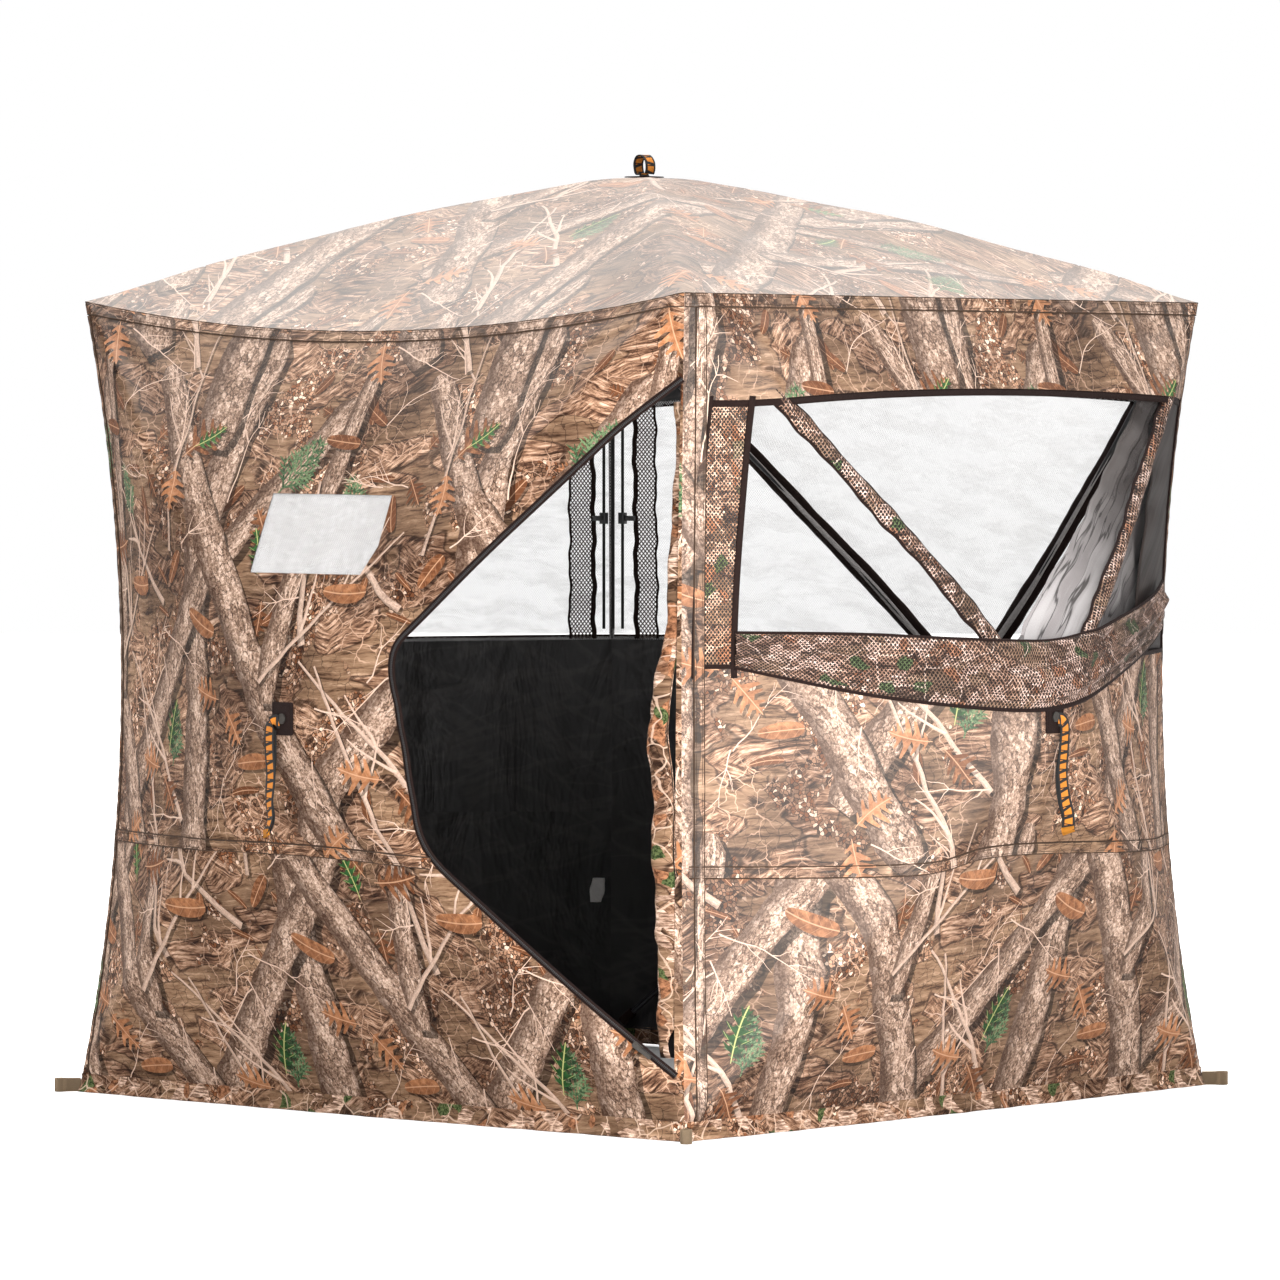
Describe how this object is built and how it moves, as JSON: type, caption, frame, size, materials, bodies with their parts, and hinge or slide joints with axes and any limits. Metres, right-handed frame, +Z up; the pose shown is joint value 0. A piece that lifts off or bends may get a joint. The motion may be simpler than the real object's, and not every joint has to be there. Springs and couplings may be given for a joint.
{
  "type": "pop up ground blind",
  "caption": "Square fabric hunting blind with sprung hubs that pop each face out, a zipped door, window bands, a mesh cover and ground stake loops.",
  "frame": {"origin": "on the ground under the middle of the blind", "axes": "+Z up; -Y is the door wall's outward direction; +X is the open window wall's outward direction"},
  "size_m": [1.9317, 1.9278, 1.7178],
  "materials": {
    "camo_fabric": null,
    "window_mesh": "pale see-through net",
    "camo_mesh": null,
    "dark_tape": "dark woven tape and binding",
    "camo_webbing": "doubled hem fabric and webbing",
    "black_webbing": "ribbed black webbing with plain orange bars",
    "moulded_black": "moulded nylon",
    "steel": "plated steel pins, bolt and washers",
    "zinc": "dark painted zinc slider",
    "fibreglass": "pultruded fibreglass rod with moulded ends"
  },
  "bodies": {
    "root": {"front_wall": "camo_fabric", "right_wall": "camo_fabric", "back_wall": "camo_fabric", "left_wall": "camo_fabric", "roof": "camo_fabric", "back_window_mesh": "window_mesh", "left_window_mesh": "window_mesh", "right_window_strip": "camo_mesh", "right_pole_sleeves": "camo_mesh", "window_cover": "camo_mesh", "door_zipper": "dark_tape", "top_pole_pockets": "dark_tape", "bottom_pole_pockets": "dark_tape", "ground_hem": "camo_webbing", "stake_loops": "camo_webbing", "corner_cords": "dark_tape"},
    "front_hub_body": {"front_hub": "moulded_black", "front_hub_fasteners": "steel", "front_hub_patch": "black_webbing"},
    "front_pole_lower_left_body": {"front_pole_lower_left": "fibreglass"},
    "front_pole_lower_right_body": {"front_pole_lower_right": "fibreglass"},
    "front_pole_upper_right_body": {"front_pole_upper_right": "fibreglass"},
    "front_pole_upper_left_body": {"front_pole_upper_left": "fibreglass"},
    "front_pull_strap_body": {"front_pull_strap": "black_webbing"},
    "right_hub_body": {"right_hub": "moulded_black", "right_hub_fasteners": "steel", "right_hub_patch": "black_webbing"},
    "right_pole_lower_left_body": {"right_pole_lower_left": "fibreglass"},
    "right_pole_lower_right_body": {"right_pole_lower_right": "fibreglass"},
    "right_pole_upper_right_body": {"right_pole_upper_right": "fibreglass"},
    "right_pole_upper_left_body": {"right_pole_upper_left": "fibreglass"},
    "right_pull_strap_body": {"right_pull_strap": "black_webbing"},
    "back_hub_body": {"back_hub": "moulded_black", "back_hub_fasteners": "steel", "back_hub_patch": "black_webbing"},
    "back_pole_lower_left_body": {"back_pole_lower_left": "fibreglass"},
    "back_pole_lower_right_body": {"back_pole_lower_right": "fibreglass"},
    "back_pole_upper_right_body": {"back_pole_upper_right": "fibreglass"},
    "back_pole_upper_left_body": {"back_pole_upper_left": "fibreglass"},
    "back_pull_strap_body": {"back_pull_strap": "black_webbing"},
    "left_hub_body": {"left_hub": "moulded_black", "left_hub_fasteners": "steel", "left_hub_patch": "black_webbing"},
    "left_pole_lower_left_body": {"left_pole_lower_left": "fibreglass"},
    "left_pole_lower_right_body": {"left_pole_lower_right": "fibreglass"},
    "left_pole_upper_right_body": {"left_pole_upper_right": "fibreglass"},
    "left_pole_upper_left_body": {"left_pole_upper_left": "fibreglass"},
    "left_pull_strap_body": {"left_pull_strap": "black_webbing"},
    "roof_hub_body": {"roof_hub": "moulded_black", "roof_hub_fasteners": "steel", "roof_hub_patch": "black_webbing", "roof_pull_strap": "black_webbing"},
    "roof_pole_front_left_body": {"roof_pole_front_left": "fibreglass"},
    "roof_pole_front_right_body": {"roof_pole_front_right": "fibreglass"},
    "roof_pole_back_right_body": {"roof_pole_back_right": "fibreglass"},
    "roof_pole_back_left_body": {"roof_pole_back_left": "fibreglass"},
    "door_flap_body": {"door_flap": "camo_fabric"},
    "zip_slider_body": {"zip_slider": "zinc"},
    "window_hook_back_body": {"window_hook_back": "moulded_black"},
    "window_hook_left_body": {"window_hook_left": "moulded_black"}
  },
  "joints": [
    {"name": "front_hub_push", "type": "slide", "parent": "root", "child": "front_hub_body", "axis": [0, 1, 0], "range_m": [0, 0.459], "deforming": ["front_wall", "door_zipper"]},
    {"name": "front_pole_lower_left_hinge", "type": "hinge", "parent": "front_hub_body", "child": "front_pole_lower_left_body", "pos_m": [-0.02152, -0.94425, 0.6891], "axis": [-0.6968, 0, 0.7172], "range_deg": [0, 28.21]},
    {"name": "front_pole_lower_right_hinge", "type": "hinge", "parent": "front_hub_body", "child": "front_pole_lower_right_body", "pos_m": [0.02152, -0.94425, 0.6891], "axis": [-0.6968, 0, -0.7172], "range_deg": [0, 28.21]},
    {"name": "front_pole_upper_right_hinge", "type": "hinge", "parent": "front_hub_body", "child": "front_pole_upper_right_body", "pos_m": [0.021, -0.94425, 0.73143], "axis": [0.7143, 0, -0.6999], "range_deg": [0, 27.72]},
    {"name": "front_pole_upper_left_hinge", "type": "hinge", "parent": "front_hub_body", "child": "front_pole_upper_left_body", "pos_m": [-0.021, -0.94425, 0.73143], "axis": [0.7143, 0, 0.6999], "range_deg": [0, 27.72]},
    {"name": "front_pull_strap_swing", "type": "hinge", "parent": "front_hub_body", "child": "front_pull_strap_body", "pos_m": [-0.024, -0.9617, 0.696], "axis": [-1, 0, 0], "range_deg": [0, 21]},
    {"name": "right_hub_push", "type": "slide", "parent": "root", "child": "right_hub_body", "axis": [-1, 0, 0], "range_m": [0, 0.459], "deforming": ["right_wall", "right_window_strip", "right_pole_sleeves", "window_cover"]},
    {"name": "right_pole_lower_left_hinge", "type": "hinge", "parent": "right_hub_body", "child": "right_pole_lower_left_body", "pos_m": [0.94425, -0.02152, 0.6891], "axis": [0, -0.6968, 0.7172], "range_deg": [0, 28.21]},
    {"name": "right_pole_lower_right_hinge", "type": "hinge", "parent": "right_hub_body", "child": "right_pole_lower_right_body", "pos_m": [0.94425, 0.02152, 0.6891], "axis": [0, -0.6968, -0.7172], "range_deg": [0, 28.21]},
    {"name": "right_pole_upper_right_hinge", "type": "hinge", "parent": "right_hub_body", "child": "right_pole_upper_right_body", "pos_m": [0.94425, 0.021, 0.73143], "axis": [0, 0.7143, -0.6999], "range_deg": [0, 27.72]},
    {"name": "right_pole_upper_left_hinge", "type": "hinge", "parent": "right_hub_body", "child": "right_pole_upper_left_body", "pos_m": [0.94425, -0.021, 0.73143], "axis": [0, 0.7143, 0.6999], "range_deg": [0, 27.72]},
    {"name": "right_pull_strap_swing", "type": "hinge", "parent": "right_hub_body", "child": "right_pull_strap_body", "pos_m": [0.9617, 0.02, 0.696], "axis": [0, -1, 0], "range_deg": [0, 21]},
    {"name": "back_hub_push", "type": "slide", "parent": "root", "child": "back_hub_body", "axis": [0, -1, 0], "range_m": [0, 0.459], "deforming": ["back_wall", "back_window_mesh"]},
    {"name": "back_pole_lower_left_hinge", "type": "hinge", "parent": "back_hub_body", "child": "back_pole_lower_left_body", "pos_m": [0.02152, 0.94425, 0.6891], "axis": [0.6968, 0, 0.7172], "range_deg": [0, 28.21]},
    {"name": "back_pole_lower_right_hinge", "type": "hinge", "parent": "back_hub_body", "child": "back_pole_lower_right_body", "pos_m": [-0.02152, 0.94425, 0.6891], "axis": [0.6968, 0, -0.7172], "range_deg": [0, 28.21]},
    {"name": "back_pole_upper_right_hinge", "type": "hinge", "parent": "back_hub_body", "child": "back_pole_upper_right_body", "pos_m": [-0.021, 0.94425, 0.73143], "axis": [-0.7143, 0, -0.6999], "range_deg": [0, 27.72]},
    {"name": "back_pole_upper_left_hinge", "type": "hinge", "parent": "back_hub_body", "child": "back_pole_upper_left_body", "pos_m": [0.021, 0.94425, 0.73143], "axis": [-0.7143, 0, 0.6999], "range_deg": [0, 27.72]},
    {"name": "back_pull_strap_swing", "type": "hinge", "parent": "back_hub_body", "child": "back_pull_strap_body", "pos_m": [0.024, 0.9617, 0.696], "axis": [1, 0, 0], "range_deg": [0, 21]},
    {"name": "left_hub_push", "type": "slide", "parent": "root", "child": "left_hub_body", "axis": [1, 0, 0], "range_m": [0, 0.459], "deforming": ["left_wall", "left_window_mesh"]},
    {"name": "left_pole_lower_left_hinge", "type": "hinge", "parent": "left_hub_body", "child": "left_pole_lower_left_body", "pos_m": [-0.94425, 0.02152, 0.6891], "axis": [0, 0.6968, 0.7172], "range_deg": [0, 28.21]},
    {"name": "left_pole_lower_right_hinge", "type": "hinge", "parent": "left_hub_body", "child": "left_pole_lower_right_body", "pos_m": [-0.94425, -0.02152, 0.6891], "axis": [0, 0.6968, -0.7172], "range_deg": [0, 28.21]},
    {"name": "left_pole_upper_right_hinge", "type": "hinge", "parent": "left_hub_body", "child": "left_pole_upper_right_body", "pos_m": [-0.94425, -0.021, 0.73143], "axis": [0, -0.7143, -0.6999], "range_deg": [0, 27.72]},
    {"name": "left_pole_upper_left_hinge", "type": "hinge", "parent": "left_hub_body", "child": "left_pole_upper_left_body", "pos_m": [-0.94425, 0.021, 0.73143], "axis": [0, -0.7143, 0.6999], "range_deg": [0, 27.72]},
    {"name": "left_pull_strap_swing", "type": "hinge", "parent": "left_hub_body", "child": "left_pull_strap_body", "pos_m": [-0.9617, -0.02, 0.696], "axis": [0, 1, 0], "range_deg": [0, 21]},
    {"name": "roof_hub_push", "type": "slide", "parent": "root", "child": "roof_hub_body", "axis": [0, 0, -1], "range_m": [0, 0.455], "deforming": ["roof", "top_pole_pockets", "bottom_pole_pockets"]},
    {"name": "roof_pole_front_left_hinge", "type": "hinge", "parent": "roof_hub_body", "child": "roof_pole_front_left_body", "pos_m": [-0.02121, -0.02121, 1.6635], "axis": [-0.7071, 0.7071, 0], "range_deg": [0, 27.78]},
    {"name": "roof_pole_front_right_hinge", "type": "hinge", "parent": "roof_hub_body", "child": "roof_pole_front_right_body", "pos_m": [0.02121, -0.02121, 1.6635], "axis": [-0.7071, -0.7071, 0], "range_deg": [0, 27.78]},
    {"name": "roof_pole_back_right_hinge", "type": "hinge", "parent": "roof_hub_body", "child": "roof_pole_back_right_body", "pos_m": [0.02121, 0.02121, 1.6635], "axis": [0.7071, -0.7071, 0], "range_deg": [0, 27.78]},
    {"name": "roof_pole_back_left_hinge", "type": "hinge", "parent": "roof_hub_body", "child": "roof_pole_back_left_body", "pos_m": [-0.02121, 0.02121, 1.6635], "axis": [0.7071, 0.7071, 0], "range_deg": [0, 27.78]},
    {"name": "door_flap_swing", "type": "hinge", "parent": "root", "child": "door_flap_body", "pos_m": [0.68, -0.684, 0.7], "axis": [0, 0, -1], "range_deg": [0, 25]},
    {"name": "zip_slider_slide", "type": "slide", "parent": "root", "child": "zip_slider_body", "axis": [-0.7289, -0.2942, 0.6181], "range_m": [0, 0.343]},
    {"name": "window_hook_back_slide", "type": "slide", "parent": "root", "child": "window_hook_back_body", "axis": [0, 0, 1], "range_m": [-0.18, 0.31]},
    {"name": "window_hook_left_slide", "type": "slide", "parent": "root", "child": "window_hook_left_body", "axis": [0, 0, 1], "range_m": [-0.18, 0.31]}
  ],
  "couplings": [
    {"joint": "front_pole_lower_left_hinge", "follows": "front_hub_push", "rad_per_m": 1.0612},
    {"joint": "front_pole_lower_right_hinge", "follows": "front_hub_push", "rad_per_m": 1.0612},
    {"joint": "front_pole_upper_right_hinge", "follows": "front_hub_push", "rad_per_m": 1.0425},
    {"joint": "front_pole_upper_left_hinge", "follows": "front_hub_push", "rad_per_m": 1.0425},
    {"joint": "front_pull_strap_swing", "follows": "front_hub_push", "rad_per_m": 0.76049},
    {"joint": "right_pole_lower_left_hinge", "follows": "right_hub_push", "rad_per_m": 1.0612},
    {"joint": "right_pole_lower_right_hinge", "follows": "right_hub_push", "rad_per_m": 1.0612},
    {"joint": "right_pole_upper_right_hinge", "follows": "right_hub_push", "rad_per_m": 1.0425},
    {"joint": "right_pole_upper_left_hinge", "follows": "right_hub_push", "rad_per_m": 1.0425},
    {"joint": "right_pull_strap_swing", "follows": "right_hub_push", "rad_per_m": 0.76049},
    {"joint": "back_pole_lower_left_hinge", "follows": "back_hub_push", "rad_per_m": 1.0612},
    {"joint": "back_pole_lower_right_hinge", "follows": "back_hub_push", "rad_per_m": 1.0612},
    {"joint": "back_pole_upper_right_hinge", "follows": "back_hub_push", "rad_per_m": 1.0425},
    {"joint": "back_pole_upper_left_hinge", "follows": "back_hub_push", "rad_per_m": 1.0425},
    {"joint": "back_pull_strap_swing", "follows": "back_hub_push", "rad_per_m": 0.76049},
    {"joint": "left_pole_lower_left_hinge", "follows": "left_hub_push", "rad_per_m": 1.0612},
    {"joint": "left_pole_lower_right_hinge", "follows": "left_hub_push", "rad_per_m": 1.0612},
    {"joint": "left_pole_upper_right_hinge", "follows": "left_hub_push", "rad_per_m": 1.0425},
    {"joint": "left_pole_upper_left_hinge", "follows": "left_hub_push", "rad_per_m": 1.0425},
    {"joint": "left_pull_strap_swing", "follows": "left_hub_push", "rad_per_m": 0.76049},
    {"joint": "roof_pole_front_left_hinge", "follows": "roof_hub_push", "rad_per_m": 1.0543},
    {"joint": "roof_pole_front_right_hinge", "follows": "roof_hub_push", "rad_per_m": 1.0543},
    {"joint": "roof_pole_back_right_hinge", "follows": "roof_hub_push", "rad_per_m": 1.0543},
    {"joint": "roof_pole_back_left_hinge", "follows": "roof_hub_push", "rad_per_m": 1.0543}
  ]
}
